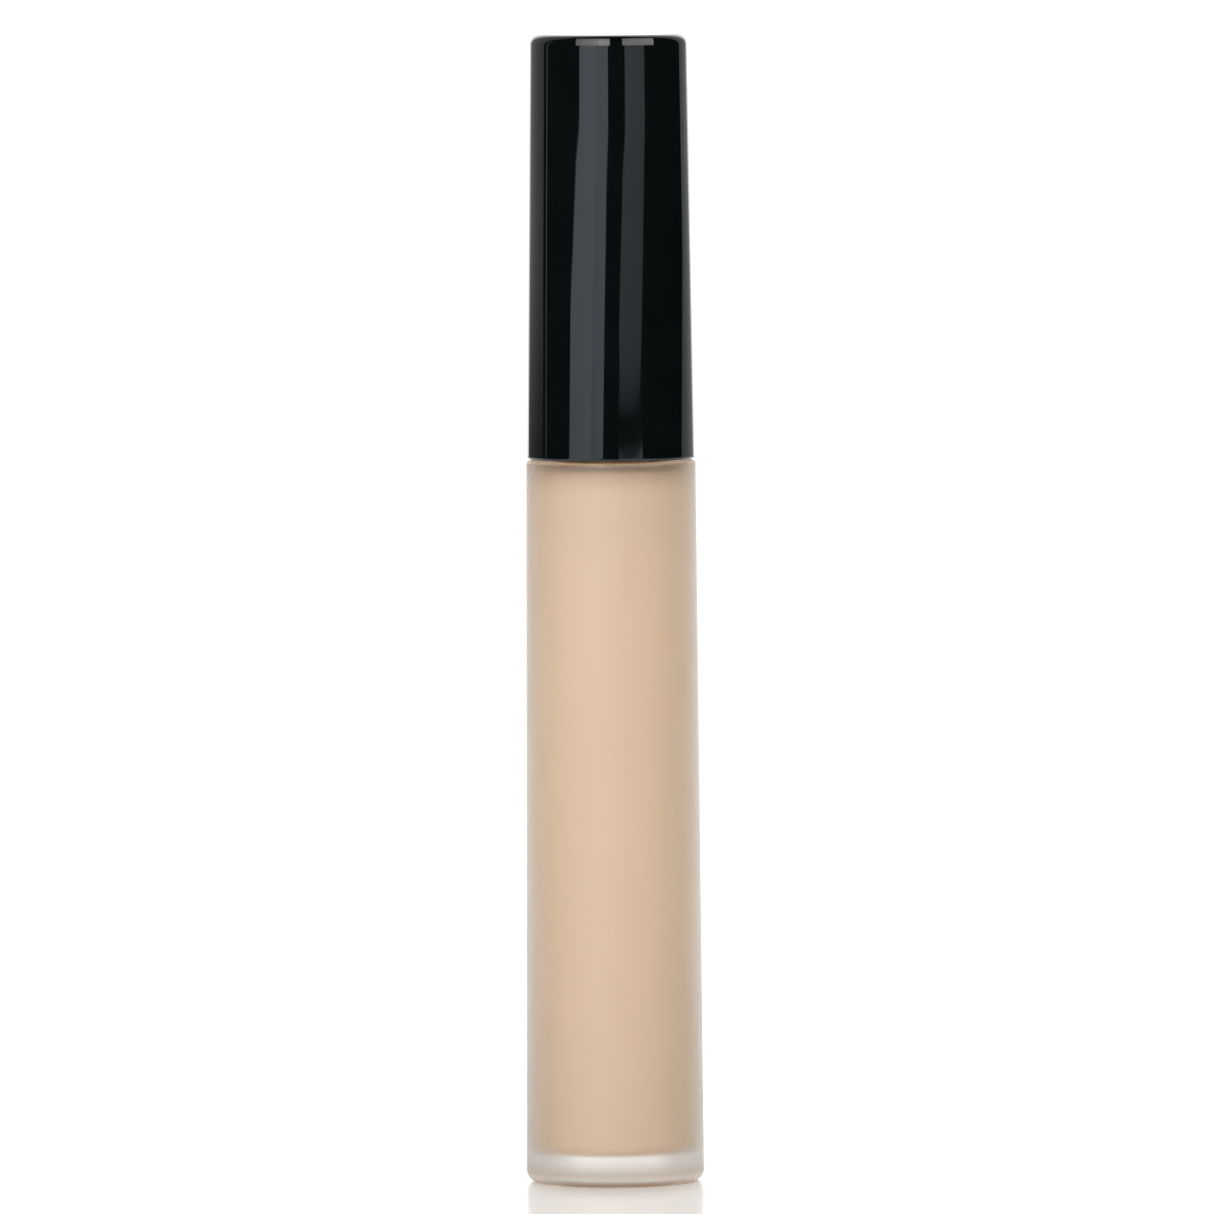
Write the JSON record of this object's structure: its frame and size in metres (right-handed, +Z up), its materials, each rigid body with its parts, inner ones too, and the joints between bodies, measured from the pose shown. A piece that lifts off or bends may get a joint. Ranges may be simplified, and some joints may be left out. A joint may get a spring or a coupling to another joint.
{
  "type": "lip gloss tube",
  "caption": "Slim upright cosmetic tube with a thick clear base, cream fill, and a glossy black screw cap that carries a wand with a slanted flocked tip.",
  "frame": {"origin": "centre of the tube's underside, on the surface that it stands on", "axes": "+Z up along the tube, towards the cap; the tube is turned about +Z, and the applicator's slanted face looks along +X"},
  "size_m": [0.0182, 0.0182, 0.1175],
  "materials": {
    "frosted_tube": "thick clear copolyester with a light satin frost on the outside",
    "cream": "opaque warm beige cream",
    "wiper_plastic": "soft milky polyethylene",
    "washer_foam": "closed-cell foam",
    "weight_steel": "turned steel",
    "cap_gloss": "high gloss black",
    "liner_plastic": "moulded black polypropylene",
    "rod_plastic": "smooth black acetal",
    "tip_elastomer": "soft elastomer",
    "tip_flock": "short nylon flock"
  },
  "bodies": {
    "tube": {"tube_body": "frosted_tube", "wiper": "wiper_plastic", "product_fill": "cream"},
    "washer": {"seal_washer": "washer_foam"},
    "weight": {"cap_weight": "weight_steel"},
    "cap": {"cap_shell": "cap_gloss", "cap_liner": "liner_plastic", "wand_stem": "rod_plastic", "applicator_core": "tip_elastomer", "applicator_flocking": "tip_flock"}
  },
  "joints": [
    {"name": "cap_pull", "type": "slide", "parent": "tube", "child": "washer", "axis": [0, 0, 1], "range_m": [0, 0.09]},
    {"name": "cap_rise", "type": "slide", "parent": "washer", "child": "weight", "axis": [0, 0, 1], "range_m": [0, 0.00265]},
    {"name": "cap_turn", "type": "hinge", "parent": "weight", "child": "cap", "pos_m": [0, 0, 0.0743], "axis": [0, 0, 1], "range_deg": [0, 450]}
  ],
  "couplings": [
    {"joint": "cap_rise", "follows": "cap_turn", "m_per_rad": 0.00033693}
  ]
}
